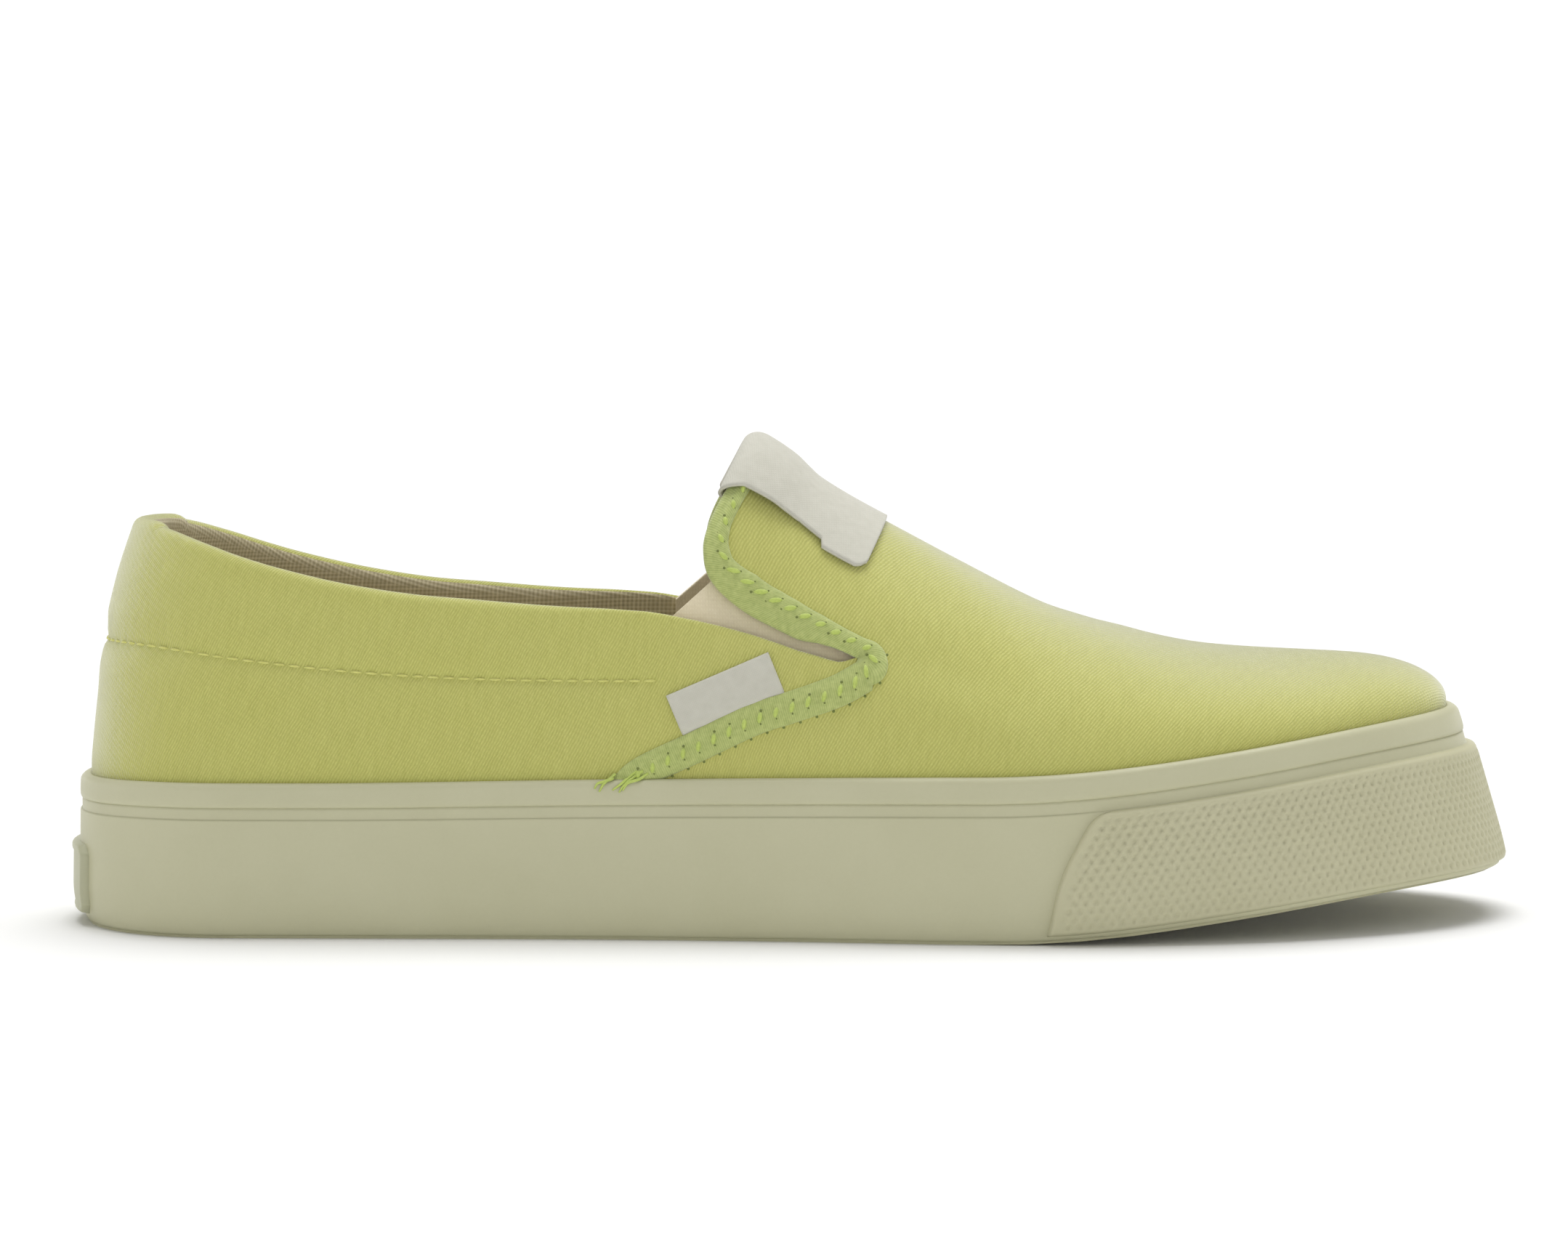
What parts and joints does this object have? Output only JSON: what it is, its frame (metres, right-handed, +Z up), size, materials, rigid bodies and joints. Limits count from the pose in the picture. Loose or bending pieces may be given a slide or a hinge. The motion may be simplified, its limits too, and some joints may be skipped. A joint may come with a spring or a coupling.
{
  "type": "slip-on canvas sneaker",
  "caption": "Low slip-on sneaker for the right foot with a canvas upper, elastic side gussets and a vulcanised rubber sole with a toe bumper.",
  "frame": {"origin": "on the ground plane under the middle of the shoe's bounding box", "axes": "+X from heel to toe, +Y towards the inner side of the foot, +Z up"},
  "size_m": [0.291, 0.1072, 0.0981],
  "materials": {
    "tread_rubber": "matte moulded rubber",
    "foxing_rubber": "satin rubber tape",
    "bumper_rubber": "fine diamond grain",
    "tab_rubber": "satin rubber",
    "lining": "plain woven linen",
    "canvas": "fine twill",
    "elastic": "ribbed elastic",
    "binding_tape": "soft folded tape",
    "label": "smooth woven ribbon"
  },
  "bodies": {
    "root": {"outsole": "tread_rubber", "foxing": "foxing_rubber", "foxing_strip": "foxing_rubber", "toe_bumper": "bumper_rubber", "heel_tab": "tab_rubber", "insole": "lining", "upper": "canvas", "gore_outer": "elastic", "gore_inner": "elastic", "binding": "binding_tape", "tongue_label": "label", "side_tag": "label"}
  },
  "joints": []
}
